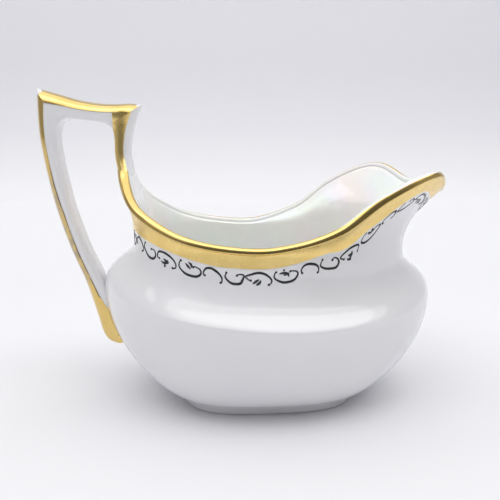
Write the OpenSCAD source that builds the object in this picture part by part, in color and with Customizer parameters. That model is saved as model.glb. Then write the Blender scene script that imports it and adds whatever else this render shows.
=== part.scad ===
// Porcelain cream jug with a wavy gilt rim, a broad spout and an angular loop handle.
// Millimetres, +Z up, spout towards +X, handle towards -X, standing on Z = 0.

/* [Foot] */
// Length of the foot along the jug
foot_length = 59; // [50:0.5:66]
// Width of the foot across the jug
foot_width = 50; // [42:0.5:56]
// Height of the foot
foot_height = 2.8; // [2:0.1:4]
// Width of the ring that the jug stands on
foot_ring_width = 4; // [2.5:0.1:6]

/* [Body] */
// Length of the belly at its widest
belly_length = 112.4; // [109:0.2:115]
// Width of the belly across the jug
belly_width = 84; // [78:0.5:90]
// Height of the widest line of the belly at the jug's sides
belly_height = 33.5; // [31:0.5:36]
// Length of the neck at its waist
neck_length = 91.2; // [88:0.2:94]
// Width of the neck across the jug
neck_width = 67; // [62:0.5:70]
// Height of the neck's waist
neck_height = 54.2; // [52:0.2:54.6]
// Thickness of the porcelain wall
wall = 2.6; // [2:0.1:3.2]
// Thickness of the porcelain floor
floor_thickness = 3.2; // [2.5:0.1:4]

/* [Rim] */
// Distance from the jug's centre to the middle of the spout
spout_reach = 62; // [59:0.5:64]
// Height of the middle of the spout
spout_height = 72.5; // [70:0.5:76]
// Height of the two raised corners beside the spout
wing_height = 79; // [76:0.5:82]
// Height of the lowest stretch of the rim
side_height = 57.4; // [56.5:0.1:59]
// Height at which the back of the rim becomes the handle
root_height = 80; // [78:0.5:82]
// Height of the rounded lip that caps the wall
lip_height = 2.2; // [1.6:0.1:2.8]

/* [Handle] */
// Depth of the handle across the jug
handle_depth = 11; // [9:0.5:12]
// Height of the handle's pointed back corner
handle_height = 104.3; // [103:0.1:106]
// Distance from the jug's centre to the back of the handle
handle_reach = 74.5; // [73:0.5:76]

/* [Decoration] */
// Width of the gilt band below the lip
band_width = 5; // [4:0.1:6.5]
// Thickness of gilding, lustre and enamel
film = 0.2; // [0.15:0.05:0.3]
// Number of painted scrolls round the jug
scroll_count = 40; // [32:4:44]
// Height of one painted scroll
scroll_height = 3.7; // [2.5:0.1:4]
// Width of a painted stroke
stroke_width = 0.6; // [0.4:0.1:0.8]

/* [Hidden] */

porcelain = "white";
gold = "goldenrod";
pearl = "gainsboro";
enamel = "darkslategray";

// The belly and neck lines sit higher at the handle than at the spout by twice this fall
line_fall = 1.8;
// The belly line rises by this much from the jug's sides to both of its ends
line_rise = 4;
// The belly and neck sit this far towards the spout from the middle of the foot
body_shift = 0.8;
// Roundness of the plan: 2 is an ellipse and higher values are squarer
belly_power = 2.1;
neck_power = 2.6;
foot_power = 3.2;
// Fullness of the curve from the foot up to the belly, near the foot and near the belly
foot_fullness = 1.53;
belly_fullness = 1.9;
// Shoulder between the belly and the neck: round at the jug's two ends, a cove above a crease at its sides,
// and how narrow the round stretch is
end_fullness = 1.7;
end_power = 2;
end_narrowness = 8;
side_fullness = 0.25;
side_power = 1.25;
// Share of the flare that straightens up again at the rim
flare_return = 0.5;
// Higher values keep the neck upright for longer before it flares
flare_power = 2.6;
// Extra wall thickness where the back of the rim carries the handle, and how narrow that stretch is
root_extra = 0.9;
root_narrowness = 8;
// The band's lower edge follows the rim up to the first angle, then climbs gently to this height at the second
back_start = 110;
back_end = 172;
band_back = 60;
// Share by which the gilt band is wider where the rim climbs to the spout, and where that is in degrees
band_swell = 0.62;
swell_angle = 49;
swell_spread = 12;
// Share by which it is narrower at the spout, and how far round that reaches in degrees
spout_tuck = 0.4;
tuck_spread = 22;

// Stations round half of the jug, closer together at the spout and the handle
half_stations = 38;
station_crowding = 12;
angles = [for (i = [0 : 2 * half_stations - 1])
    let (t = i / half_stations)
    180 * t - station_crowding * sin(360 * t)];

// Rows of the surfaces, counted down from the rim
band_rows = 3;
shoulder_rows = 9;
lower_rows = 8;
inner_rows = 7;

// Outer edge of the rim as angle from the spout, reach from the centre, height
rim_line = [
    [0, spout_reach, spout_height],
    [15, spout_reach - 2.4, spout_height + 1.4],
    [33, spout_reach - 3.6, wing_height],
    [49, spout_reach - 12.4, wing_height - 6.4],
    [64, 42.6, 62.8],
    [88, neck_width / 2 + 2.7, side_height],
    [112, 38.6, side_height - 0.1],
    [135, 43.4, side_height + 3.2],
    [152, 48.6, side_height + 10],
    [166, 49.6, root_height - 5],
    [173, 49.9, root_height],
    [180, 50, root_height]];

// Value between two table rows by a cubic whose slopes are the rows' own
function hermite(p0, p1, m0, m1, gap, t) =
    (2 * t * t * t - 3 * t * t + 1) * p0 + (t * t * t - 2 * t * t + t) * gap * m0
    + (3 * t * t - 2 * t * t * t) * p1 + (t * t * t - t * t) * gap * m1;

// Slope of the rim line at row i, level at the spout and the handle
function rim_slope(i, column) =
    i == 0 || i == len(rim_line) - 1 ? 0 :
    (rim_line[i + 1][column] - rim_line[i - 1][column]) / (rim_line[i + 1][0] - rim_line[i - 1][0]);

// Angle folded onto the half from the spout round to the handle
function folded(a) = abs(((a + 180) % 360 + 360) % 360 - 180);

function rim_value(a, column) =
    let (
        f = folded(a),
        i = max([for (k = [0 : len(rim_line) - 2]) if (rim_line[k][0] <= f) k]),
        gap = rim_line[i + 1][0] - rim_line[i][0]
    )
    hermite(rim_line[i][column], rim_line[i + 1][column], rim_slope(i, column), rim_slope(i + 1, column),
            gap, (f - rim_line[i][0]) / gap);

function rim_reach(a) = rim_value(a, 1);
function rim_height(a) = min(rim_value(a, 2), root_height);

// Reach of a rounded oblong in direction a, longer towards the spout by shift
function oblong(length, width, power, shift, a) =
    let (half_length = length / 2 + shift * sign(cos(a)))
    pow(pow(abs(cos(a)) / half_length, power) + pow(abs(sin(a)) / (width / 2), power), -1 / power);

function foot_reach(a) = oblong(foot_length, foot_width, foot_power, 0, a);
function belly_reach(a) = oblong(belly_length, belly_width, belly_power, body_shift, a);
function neck_reach(a) = oblong(neck_length, neck_width, neck_power, body_shift, a);
function belly_level(a) = belly_height - line_fall * cos(a) + line_rise * pow(cos(a), 2);
function neck_level(a) = neck_height - line_fall * cos(a);

function mix(a, b, t) = a + (b - a) * t;
function ease(t) = let (s = min(max(t, 0), 1)) s * s * (3 - 2 * s);
function shoulder(a, t) =
    let (end = pow(cos(a), end_narrowness), out = pow(max(t, 0), mix(side_power, end_power, end)))
    out / (out + mix(side_fullness, end_fullness, end) * pow(1 - t, 2));
function flare(t) = pow(t, flare_power) * (1 + flare_return * (2 - 2 * t));

// Reach of the outer surface above the belly, in direction a at height z
function upper_reach(a, z) =
    z < neck_level(a)
    ? mix(belly_reach(a), neck_reach(a),
          shoulder(a, (z - belly_level(a)) / (neck_level(a) - belly_level(a))))
    : mix(neck_reach(a), rim_reach(a), flare((z - neck_level(a)) / (rim_height(a) - neck_level(a))));

// Wall thickness in direction a, greater where the handle grows from the rim
function wall_at(a) = wall + root_extra * pow(max(0, -cos(a)), root_narrowness);

// Vertical stretch of a width that is measured square to a line rising from one height to another
steep_step = 1.5;
steep_limit = 2.2;
function stretch(a, low, high) =
    let (run = 2 * PI * rim_reach(a) * 2 * steep_step / 360)
    min(steep_limit, sqrt(1 + pow((high - low) / run, 2)));
function lip_stretch(a) = stretch(a, rim_height(a - steep_step), rim_height(a + steep_step));

// The lip stands on the wall's top and is as high as its stretch says
function lip_middle(a) = rim_height(a) - lip_height / 2;
function wall_top(a) = lip_middle(a) - lip_height / 2 * lip_stretch(a);

function swell(a) =
    1 + band_swell * exp(-pow((folded(a) - swell_angle) / swell_spread, 2))
    - spout_tuck * exp(-pow(folded(a) / tuck_spread, 2));
function band_bottom(a) =
    folded(a) > back_start
    ? mix(lip_middle(back_start) - band_width, band_back, ease((folded(a) - back_start) / (back_end - back_start)))
    : lip_middle(a) - band_width * lip_stretch(a) * swell(a);

function polar(a, reach, z) = [reach * cos(a), reach * sin(a), z];

// Point on the surface set in from the outside by inset, in direction a at height z
function upper_point(a, z, inset) = polar(a, upper_reach(a, z) - inset, z);

// Point between the foot (t = 0) and the belly (t = 1), inset from the outside and above the floor
function lower_point(a, t, inset, rise) =
    let (
        bulge = pow(sin(90 * t), 2 / foot_fullness),
        climb = 1 - pow(cos(90 * t), 2 / belly_fullness)
    )
    polar(a, mix(foot_reach(a), belly_reach(a), bulge) - inset,
          mix(foot_height + rise, belly_level(a), climb));

// Heights of the rows from the wall's top down to the belly
function upper_levels(a) = concat(
    [for (k = [0 : band_rows]) mix(wall_top(a), band_bottom(a), k / band_rows)],
    [for (k = [1 : shoulder_rows]) mix(band_bottom(a), belly_level(a), k / shoulder_rows)]);

// Rings of the outside from the wall's top down to the foot
function outside_rings() = concat(
    [for (k = [0 : band_rows + shoulder_rows])
        [for (a = angles) upper_point(a, upper_levels(a)[k], 0)]],
    [for (k = [1 : lower_rows])
        [for (a = angles) lower_point(a, 1 - k / lower_rows, 0, 0)]]);

// Rings of the inside from the wall's top down to the floor, with a coat on the wall
function inside_rings(coat) = concat(
    [for (k = [0 : inner_rows])
        [for (a = angles) upper_point(a, mix(wall_top(a), belly_level(a), k / inner_rows), wall_at(a) + coat)]],
    [for (k = [1 : inner_rows])
        [for (a = angles) lower_point(a, 1 - k / inner_rows, wall_at(a) + coat, floor_thickness + coat)]]);

function reversed(list) = [for (i = [len(list) - 1 : -1 : 0]) list[i]];
function flat(lists) = [for (l = lists) each l];

// Faces between neighbouring rings of n points each
function side_faces(rings, n) =
    [for (r = [0 : rings - 2], i = [0 : n - 1], half = [0, 1])
        let (j = (i + 1) % n, low = r * n, high = (r + 1) * n)
        half == 0 ? [low + i, low + j, high + j] : [low + i, high + j, high + i]];

// The same with the ends closed by flat caps
function tube_faces(rings, n) = concat(
    side_faces(rings, n),
    [[for (i = [n - 1 : -1 : 0]) i], [for (i = [0 : n - 1]) (rings - 1) * n + i]]);

// The same for a film, whose rings run out along one face and back along the other
function film_faces(rings, n) = concat(
    side_faces(rings, n),
    [for (i = [0 : n / 2 - 2], last = [0, 1])
        let (quad = [i, i + 1, n - 2 - i, n - 1 - i])
        [for (k = last == 0 ? reversed(quad) : quad) last * (rings - 1) * n + k]]);

// Faces between rings that follow one another round a closed section
function ring_faces(rings, n) =
    [for (r = [0 : rings - 1], i = [0 : n - 1], half = [0, 1])
        let (j = (i + 1) % n, low = r * n, high = ((r + 1) % rings) * n)
        half == 0 ? [low + i, high + j, low + j] : [low + i, high + i, high + j]];

// Solid through rings that run from one end to the other
module tube(rings) {
    polyhedron(points = flat(rings), faces = tube_faces(len(rings), len(rings[0])), convexity = 10);
}

// Solid through rings that close on themselves
module closed_ring(rings) {
    polyhedron(points = flat(rings), faces = ring_faces(len(rings), len(rings[0])), convexity = 10);
}

// Cast body: outside down to the foot, then inside from the floor up
module bowl() {
    color(porcelain) tube(concat(reversed(inside_rings(0)), outside_rings()));
}

// Ring that the jug stands on, under the floor
module foot_ring() {
    outline = [for (a = angles) foot_reach(a) * [cos(a), sin(a)]];
    hollow = [for (a = angles) (foot_reach(a) - foot_ring_width) * [cos(a), sin(a)]];
    color(porcelain) linear_extrude(foot_height) difference() {
        polygon(outline);
        polygon(hollow);
    }
}

// Lustre coat that covers the inside from the floor to the lip
module lustre_lining() {
    color(pearl) tube(concat(reversed(inside_rings(film)), inside_rings(0)));
}

// Flat gilt band on the outside below the lip
module rim_band() {
    rows = [for (k = [0 : band_rows]) k];
    function row(k, rise) = [for (a = angles) upper_point(a, upper_levels(a)[k], -rise)];
    color(gold) closed_ring(concat([for (k = reversed(rows)) row(k, film)], [for (k = rows) row(k, 0)]));
}

// Rounded lip: how far it bulges outwards, the height of its widest line as a share, and where it ends
lip_bulge = 0.15;
lip_waist = 0.25;
lip_end = 172;
lip_step = 30;

// Point on the lip by the turn round it: 0 is outwards, 90 up and 180 inwards
function lip_point(a, turn) =
    let (middle = upper_reach(a, lip_middle(a)) - wall_at(a) / 2)
    polar(a, middle + (wall_at(a) / 2 + (cos(turn) > 0 ? lip_bulge : 0)) * cos(turn),
          wall_top(a) + lip_height * lip_stretch(a) * mix(lip_waist, 1, sin(turn)));

// Rounded gilt lip on the wall, open where the handle stands on the rim
module lip_gilding() {
    open_angles = [for (a = angles) if (a > 360 - lip_end) a - 360];
    path = concat(open_angles, [for (a = angles) if (a < lip_end) a]);
    rings = [for (a = path) concat(
        [upper_point(a, wall_top(a), 0)],
        [for (turn = [0 : lip_step : 180]) lip_point(a, turn)],
        [upper_point(a, wall_top(a), wall_at(a))])];
    color(gold) tube(rings);
}

// Back of the body on the centre line at height z, below the belly
function lower_back(z) =
    let (climb = (z - foot_height) / (belly_level(180) - foot_height))
    mix(foot_length / 2, belly_length / 2 - body_shift,
        pow(1 - pow(1 - climb, belly_fullness), 1 / foot_fullness));
function back_reach(z) = z < belly_level(180) ? lower_back(z) : upper_reach(180, z);

// Gap between the handle's lower end and the belly
seat_gap = 0.2;
function seat(z) = -back_reach(z) - seat_gap;

// Handle edges as outer x, outer z, inner x, inner z, from the rim up and round to the belly
stem_x = -50;
stem_base = wall_top(180);
stem_line = [
    [-46, stem_base, -49.3, stem_base],
    [-45.4, 85, stem_x - 0.1, 84.5],
    [-44.5, 89.2, stem_x - 0.1, 88.2],
    [-43.1, 94.2, stem_x - 0.5, 91],
    [-41, 99.2, stem_x - 1.5, 92.6]];
bar_line = [
    [-41, 99.2, stem_x - 1.5, 92.6],
    [-45, 99.6, -53.2, 93.4],
    [-50, 99.4, -55.7, 93.8],
    [-55.5, 99.6, -58.8, 94.2],
    [-61.5, 100.6, -62.2, 94.6],
    [-67.5, 102.3, -65.4, 94.7],
    [-handle_reach, handle_height, -67.7, 93.4]];
leg_line = [
    [-handle_reach, handle_height, -67.7, 93.4],
    [-handle_reach - 0.1, 98, -68.4, 90.8],
    [-handle_reach, 91, -68.5, 87.4],
    [-74, 85.5, -68.2, 83],
    [-72.4, 75, -66.9, 75],
    [-70.2, 64.5, -64.7, 64.6],
    [-66.5, 52, -60.9, 52.4],
    [-62.4, 41.2, -56.9, 43],
    [-60.3, 34.2, seat(36), 36]];
terminal_line = [
    [-60.3, 34.2, seat(36), 36],
    [-58.5, 27.5, seat(29), 29],
    [-57.3, 22.5, seat(23.5), 23.5],
    [-55.7, 19.6, seat(20.4), 20.4],
    [-53.3, 18.6, seat(19.2), 19.2]];

// Smooth run through a list of rows, with a few steps between neighbours
run_steps = 3;
function run(rows) =
    let (n = len(rows))
    [for (i = [0 : n - 2], k = [0 : run_steps - 1 + (i == n - 2 ? 1 : 0)])
        let (
            m0 = i == 0 ? rows[1] - rows[0] : (rows[i + 1] - rows[i - 1]) / 2,
            m1 = i == n - 2 ? rows[n - 1] - rows[n - 2] : (rows[i + 2] - rows[i]) / 2
        )
        hermite(rows[i], rows[i + 1], m0, m1, 1, k / run_steps)];

function tail(list) = [for (i = [1 : len(list) - 1]) list[i]];
stem_run = run(stem_line);
bar_run = run(bar_line);
leg_run = run(leg_line);
terminal_run = run(terminal_line);

// Handle section: share of the way from the inner to the outer edge, share of the half depth
side_low = 0.1;
side_high = 0.66;
crown = [[side_high, 1], [0.83, 0.82], [0.94, 0.5], [1, 0], [0.94, -0.5], [0.83, -0.82], [side_high, -1]];
handle_section = concat([[0, -0.75], [0, 0.75], [side_low, 1]], crown, [[side_low, -1]]);

// Section point on a row of a handle run, lifted off the surface along both directions
function handle_point(row, p, lift) =
    let (
        inner = [row[2], row[3]],
        outer = [row[0], row[1]],
        across = outer - inner,
        spot = inner + across * (p[0] + lift * max(0, p[0] - side_low) / norm(across)),
        half_depth = handle_depth / 2 + (abs(p[1]) == 1 ? lift : lift * abs(p[1]))
    )
    [spot[0], p[1] * half_depth, spot[1]];

// Cast loop handle in one piece: stem, bar, leg and lower end
module handle() {
    rows = concat(stem_run, tail(bar_run), tail(leg_run), tail(terminal_run));
    color(porcelain) tube([for (row = rows) [for (p = handle_section) handle_point(row, p, 0)]]);
}

// Film over an open part of the handle's section, along a run
module handle_film(rows, part) {
    rings = [for (row = rows) concat(
        [for (p = part) handle_point(row, p, film)],
        [for (p = reversed(part)) handle_point(row, p, 0)])];
    color(gold) polyhedron(points = flat(rings), faces = film_faces(len(rings), len(rings[0])), convexity = 10);
}

// Gilding on the rounded back of the bar and the leg
module handle_gilding() {
    handle_film(concat(bar_run, tail(leg_run)), crown);
}

// Gilding that covers the whole lower end
module terminal_gilding() {
    handle_film(terminal_run, concat([[side_low, 1]], crown, [[side_low, -1]]));
}

// Gilding on the two sides of the stem
module stem_gilding() {
    for (side = [-1, 1])
        handle_film(stem_run, side > 0 ? [[side_low, 1], [side_high, 1]] : [[side_high, -1], [side_low, -1]]);
}

// Painted scroll: a small hook, an arch and a large hook, in shares of its length and its height
scroll_gap = 1.1;
scroll_clear = 0.15;
scroll_fill = 0.9;
stroke_steps = 12;
arch_start = 0.18;
arch_end = 0.62;
arch_foot = -0.14;
small_hook = [0.09, 0.2];
small_turn = 110;
large_hook = [0.15, 0.32];
large_turn = 220;
function scroll_curve(t) =
    t < arch_start
    ? let (turn = 180 + small_turn * (1 - t / arch_start))
      [small_hook[0] * (1 + cos(turn)) - 0.5, arch_foot + small_hook[1] * sin(turn)]
    : t < arch_end
    ? let (turn = 180 * (arch_end - t) / (arch_end - arch_start))
      [cos(turn) / 2, arch_foot + (0.5 - arch_foot) * sin(turn)]
    : let (turn = -large_turn * (t - arch_end) / (1 - arch_end))
      [0.5 - large_hook[0] * (1 - cos(turn)), arch_foot + large_hook[1] * sin(turn)];

// Leaf that fills two scrolls of every four
leaf_steps = 3;
leaf_width = 1.1;
function leaf_curve(t) = [mix(-0.2, 0.06, t), mix(-0.42, 0.02, t)];

// Middle line of the border, and how far one leans from the upright on the body there
border_middle = scroll_gap + scroll_height / 2;
function border_line(a) = upper_point(a, band_bottom(a) - border_middle, 0);
function border_lean(a) =
    let (z = band_bottom(a) - border_middle)
    norm([2, upper_reach(a, z - 1) - upper_reach(a, z + 1)]) / 2;

// Distance walked along the border for each degree, and the angle for a distance
border_walk = [for (a = 0, s = 0; a <= 360; s = s + norm(border_line(a + 1) - border_line(a)), a = a + 1)
    [s, a]];
border_length = border_walk[360][0];
function border_angle(s) = lookup((s + border_length) % border_length, border_walk);

// Point on the body at a distance along the border and down from the band's lower edge
function border_point(along, drop, rise) =
    let (a = border_angle(along))
    upper_point(a, band_bottom(a) - drop / border_lean(a), -rise);

// One painted stroke through points along and down the border, thin where it starts and ends
thin_end = 0.5;
module stroke(line, width) {
    steps = len(line) - 1;
    rings = [for (k = [0 : steps])
        let (
            course = line[min(steps, k + 1)] - line[max(0, k - 1)],
            half = width / 2 * mix(thin_end, 1, sin(180 * k / steps)),
            side = [-course[1], course[0]] / norm(course) * half
        )
        [for (corner = [[-1, 0], [1, 0], [1, 1], [-1, 1]])
            let (spot = line[k] + corner[0] * side)
            border_point(spot[0], spot[1], scroll_clear + corner[1] * film)]];
    tube(rings);
}

// Scrolls come in fours: two long ones with a leaf, then two short ones
group_length = 4 * border_length / scroll_count;
group_start = 0.93 * group_length;
scroll_shares = [0.28, 0.28, 0.22, 0.22];
scroll_starts = [0, 0.28, 0.56, 0.78];

// Row of scrolls below the band, turned up and down by turns
module scroll_border() {
    color(enamel) for (i = [0 : scroll_count - 1]) motif(floor(i / 4), i % 4);
}

// One scroll, and its leaf if it is a long one
module motif(group, turn) {
    pitch = scroll_shares[turn] * group_length;
    centre = group_start + (group + scroll_starts[turn]) * group_length + pitch / 2;
    way = turn % 2 == 0 ? -1 : 1;
    function placed(p) = [centre + p[0] * scroll_fill * pitch, border_middle + way * p[1] * scroll_height];
    stroke([for (k = [0 : stroke_steps]) placed(scroll_curve(k / stroke_steps))], stroke_width);
    if (turn < 2) stroke([for (k = [0 : leaf_steps]) placed(leaf_curve(k / leaf_steps))], leaf_width);
}

bowl();
foot_ring();
handle();
lustre_lining();
rim_band();
lip_gilding();
handle_gilding();
stem_gilding();
terminal_gilding();
scroll_border();
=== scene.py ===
# Looks of the porcelain cream jug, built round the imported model. Shapes are worked out in millimetres.
import math

import bmesh
import bpy
import numpy as np
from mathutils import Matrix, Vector


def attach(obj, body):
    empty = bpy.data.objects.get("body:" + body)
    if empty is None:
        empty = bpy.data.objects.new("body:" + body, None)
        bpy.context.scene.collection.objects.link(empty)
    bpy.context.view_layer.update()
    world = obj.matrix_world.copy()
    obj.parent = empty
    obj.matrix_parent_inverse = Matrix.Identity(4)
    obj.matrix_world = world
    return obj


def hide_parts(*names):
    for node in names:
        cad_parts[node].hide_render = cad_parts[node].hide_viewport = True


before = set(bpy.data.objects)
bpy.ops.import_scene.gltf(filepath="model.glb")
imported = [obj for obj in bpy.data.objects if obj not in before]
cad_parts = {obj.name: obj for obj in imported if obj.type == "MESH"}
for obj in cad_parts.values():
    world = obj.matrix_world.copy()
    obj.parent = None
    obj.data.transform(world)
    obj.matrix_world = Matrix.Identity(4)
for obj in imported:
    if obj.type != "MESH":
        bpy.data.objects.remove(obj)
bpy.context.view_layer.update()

MM = 0.001

# Sizes of the jug in millimetres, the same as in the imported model
FOOT_LENGTH = 59.0
FOOT_WIDTH = 50.0
FOOT_HEIGHT = 2.8
FOOT_RING_WIDTH = 4.0
BELLY_LENGTH = 112.4
BELLY_WIDTH = 84.0
BELLY_HEIGHT = 33.5
NECK_LENGTH = 91.2
NECK_WIDTH = 67.0
NECK_HEIGHT = 54.2
WALL = 2.6
FLOOR_THICKNESS = 3.2
SPOUT_REACH = 62.0
SPOUT_HEIGHT = 72.5
WING_HEIGHT = 79.0
SIDE_HEIGHT = 57.4
ROOT_HEIGHT = 80.0
LIP_HEIGHT = 2.2
LIP_BULGE = 0.15
HANDLE_DEPTH = 11.0
HANDLE_HEIGHT = 104.3
HANDLE_REACH = 74.5
BAND_WIDTH = 5.0
FILM = 0.2

# Curves of the body
LINE_FALL = 1.8
LINE_RISE = 4.0
BODY_SHIFT = 0.8
BELLY_POWER = 2.1
NECK_POWER = 2.6
FOOT_POWER = 3.2
FOOT_FULLNESS = 1.53
BELLY_FULLNESS = 1.9
END_FULLNESS = 1.7
END_POWER = 2.0
END_NARROWNESS = 8
SIDE_FULLNESS = 0.25
SIDE_POWER = 1.25
FLARE_RETURN = 0.5
FLARE_POWER = 2.6
ROOT_EXTRA = 0.9
ROOT_NARROWNESS = 8
BAND_BACK = 60.0
BACK_START = 110.0
BACK_END = 172.0
BAND_SWELL = 0.62
SWELL_ANGLE = 49.0
SWELL_SPREAD = 12.0
SPOUT_TUCK = 0.4
TUCK_SPREAD = 22.0
STEEP_STEP = 1.5
STEEP_LIMIT = 2.2

# Outer edge of the rim as angle from the spout, reach from the centre, height
RIM_LINE = np.array([
    [0, SPOUT_REACH, SPOUT_HEIGHT],
    [15, SPOUT_REACH - 2.4, SPOUT_HEIGHT + 1.4],
    [33, SPOUT_REACH - 3.6, WING_HEIGHT],
    [49, SPOUT_REACH - 12.4, WING_HEIGHT - 6.4],
    [64, 42.6, 62.8],
    [88, NECK_WIDTH / 2 + 2.7, SIDE_HEIGHT],
    [112, 38.6, SIDE_HEIGHT - 0.1],
    [135, 43.4, SIDE_HEIGHT + 3.2],
    [152, 48.6, SIDE_HEIGHT + 10],
    [166, 49.6, ROOT_HEIGHT - 5],
    [173, 49.9, ROOT_HEIGHT],
    [180, 50, ROOT_HEIGHT]])


def cos_of(a):
    return np.cos(np.radians(a))


def sin_of(a):
    return np.sin(np.radians(a))


def mix(low, high, t):
    return low + (high - low) * t


def ease(t):
    """Smooth step from 0 to 1."""
    t = np.clip(t, 0, 1)
    return t * t * (3 - 2 * t)


def hermite(p0, p1, m0, m1, gap, t):
    """Value between two rows by a cubic whose slopes are the rows' own."""
    return ((2 * t ** 3 - 3 * t ** 2 + 1) * p0 + (t ** 3 - 2 * t ** 2 + t) * gap * m0
            + (3 * t ** 2 - 2 * t ** 3) * p1 + (t ** 3 - t ** 2) * gap * m1)


def folded(a):
    """Angle folded onto the half from the spout round to the handle."""
    return np.abs((np.asarray(a, float) + 180) % 360 - 180)


RIM_SLOPES = np.zeros_like(RIM_LINE)
RIM_SLOPES[1:-1] = (RIM_LINE[2:] - RIM_LINE[:-2]) / (RIM_LINE[2:, :1] - RIM_LINE[:-2, :1])


def rim_value(a, column):
    f = folded(a)
    i = np.clip(np.searchsorted(RIM_LINE[:, 0], f, side="right") - 1, 0, len(RIM_LINE) - 2)
    gap = RIM_LINE[i + 1, 0] - RIM_LINE[i, 0]
    return hermite(RIM_LINE[i, column], RIM_LINE[i + 1, column],
                   RIM_SLOPES[i, column], RIM_SLOPES[i + 1, column], gap, (f - RIM_LINE[i, 0]) / gap)


def rim_reach(a):
    return rim_value(a, 1)


def rim_height(a):
    return np.minimum(rim_value(a, 2), ROOT_HEIGHT)


def oblong(length, width, power, shift, a):
    """Reach of a rounded oblong in direction a, longer towards the spout by shift."""
    half_length = length / 2 + shift * np.sign(cos_of(a))
    along = np.abs(cos_of(a) / half_length) ** power
    across = np.abs(sin_of(a) / (width / 2)) ** power
    return (along + across) ** (-1 / power)


def foot_reach(a):
    return oblong(FOOT_LENGTH, FOOT_WIDTH, FOOT_POWER, 0, a)


def belly_reach(a):
    return oblong(BELLY_LENGTH, BELLY_WIDTH, BELLY_POWER, BODY_SHIFT, a)


def neck_reach(a):
    return oblong(NECK_LENGTH, NECK_WIDTH, NECK_POWER, BODY_SHIFT, a)


def belly_level(a):
    return BELLY_HEIGHT - LINE_FALL * cos_of(a) + LINE_RISE * cos_of(a) ** 2


def neck_level(a):
    return NECK_HEIGHT - LINE_FALL * cos_of(a)


def shoulder(a, t):
    """Way from the belly to the neck: round at the jug's two ends, a cove above a crease at its sides."""
    end = cos_of(a) ** END_NARROWNESS
    out = t ** mix(SIDE_POWER, END_POWER, end)
    return out / (out + mix(SIDE_FULLNESS, END_FULLNESS, end) * (1 - t) ** 2)


def flare(t):
    t = np.maximum(t, 0)
    return t ** FLARE_POWER * (1 + FLARE_RETURN * (2 - 2 * t))


def upper_reach(a, z):
    """Reach of the outer surface above the belly, in direction a at height z."""
    belly, neck = belly_level(a), neck_level(a)
    low = mix(belly_reach(a), neck_reach(a), shoulder(a, np.clip((z - belly) / (neck - belly), 0, 1)))
    high = mix(neck_reach(a), rim_reach(a), flare((z - neck) / (rim_height(a) - neck)))
    return np.where(z < neck, low, high)


def wall_at(a):
    return WALL + ROOT_EXTRA * np.maximum(0, -cos_of(a)) ** ROOT_NARROWNESS


def stretch(a, low, high):
    """Vertical stretch of a width that is measured square to a line rising from low to high."""
    run = 2 * np.pi * rim_reach(a) * 2 * STEEP_STEP / 360
    return np.minimum(STEEP_LIMIT, np.sqrt(1 + ((high - low) / run) ** 2))


def lip_stretch(a):
    return stretch(a, rim_height(a - STEEP_STEP), rim_height(a + STEEP_STEP))


def lip_middle(a):
    return rim_height(a) - LIP_HEIGHT / 2


def wall_top(a):
    return lip_middle(a) - LIP_HEIGHT / 2 * lip_stretch(a)


def band_bottom(a):
    """Lower edge of the band: under the rim, and rising gently at the back while the rim climbs away."""
    swell = 1 + BAND_SWELL * np.exp(-((folded(a) - SWELL_ANGLE) / SWELL_SPREAD) ** 2)
    swell = swell - SPOUT_TUCK * np.exp(-(folded(a) / TUCK_SPREAD) ** 2)
    under_rim = lip_middle(a) - BAND_WIDTH * lip_stretch(a) * swell
    climb = ease((folded(a) - BACK_START) / (BACK_END - BACK_START))
    at_back = mix(lip_middle(BACK_START) - BAND_WIDTH, BAND_BACK, climb)
    return np.where(folded(a) > BACK_START, at_back, under_rim)


def polar(a, reach, z):
    return np.stack([reach * cos_of(a), reach * sin_of(a), z + 0 * reach], -1)


def upper_point(a, z, inset):
    return polar(a, upper_reach(a, z) - inset, z)


def lower_point(a, t, inset, rise):
    """Point between the foot (t = 0) and the belly (t = 1)."""
    bulge = sin_of(90 * t) ** (2 / FOOT_FULLNESS)
    climb = 1 - np.maximum(cos_of(90 * t), 0) ** (2 / BELLY_FULLNESS)
    return polar(a, mix(foot_reach(a), belly_reach(a), bulge) - inset,
                 mix(FOOT_HEIGHT + rise, belly_level(a), climb))


# Mesh making
STATIONS = 288
SHARP_ANGLE = 42
# Per-point share of the dark line along the gilding's edge on the leg
EDGE_LINE_ATTRIBUTE = "edge_line"
ANGLES = np.arange(STATIONS) * 360 / STATIONS


def add_piece(name, node, slot, material, points, faces, dark_edge_share=None):
    """Mesh from points in millimetres that rides on the jug and stands for a node; the dark line at a
    gilding's edge is given by point.
    """
    mesh = bpy.data.meshes.new(name)
    mesh.from_pydata((np.asarray(points) * MM).tolist(), [], faces)
    shape = bmesh.new()
    shape.from_mesh(mesh)
    bmesh.ops.recalc_face_normals(shape, faces=shape.faces)
    shape.to_mesh(mesh)
    shape.free()
    mesh.polygons.foreach_set("use_smooth", [True] * len(mesh.polygons))
    mesh.set_sharp_from_angle(angle=math.radians(SHARP_ANGLE))
    mesh.materials.append(material)
    if dark_edge_share is not None:
        mesh.attributes.new(EDGE_LINE_ATTRIBUTE, "FLOAT", "POINT").data.foreach_set("value", dark_edge_share)
    piece = bpy.data.objects.new(name, mesh)
    bpy.context.scene.collection.objects.link(piece)
    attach(piece, "root")
    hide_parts(node)


def grid_faces(rows, columns, wrap_rows, wrap_columns):
    """Quads between neighbouring rows and columns of a grid of points."""
    faces = []
    for r in range(rows if wrap_rows else rows - 1):
        low = r * columns
        high = (r + 1) % rows * columns
        for c in range(columns if wrap_columns else columns - 1):
            d = (c + 1) % columns
            faces.append((low + c, low + d, high + d, high + c))
    return faces


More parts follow.
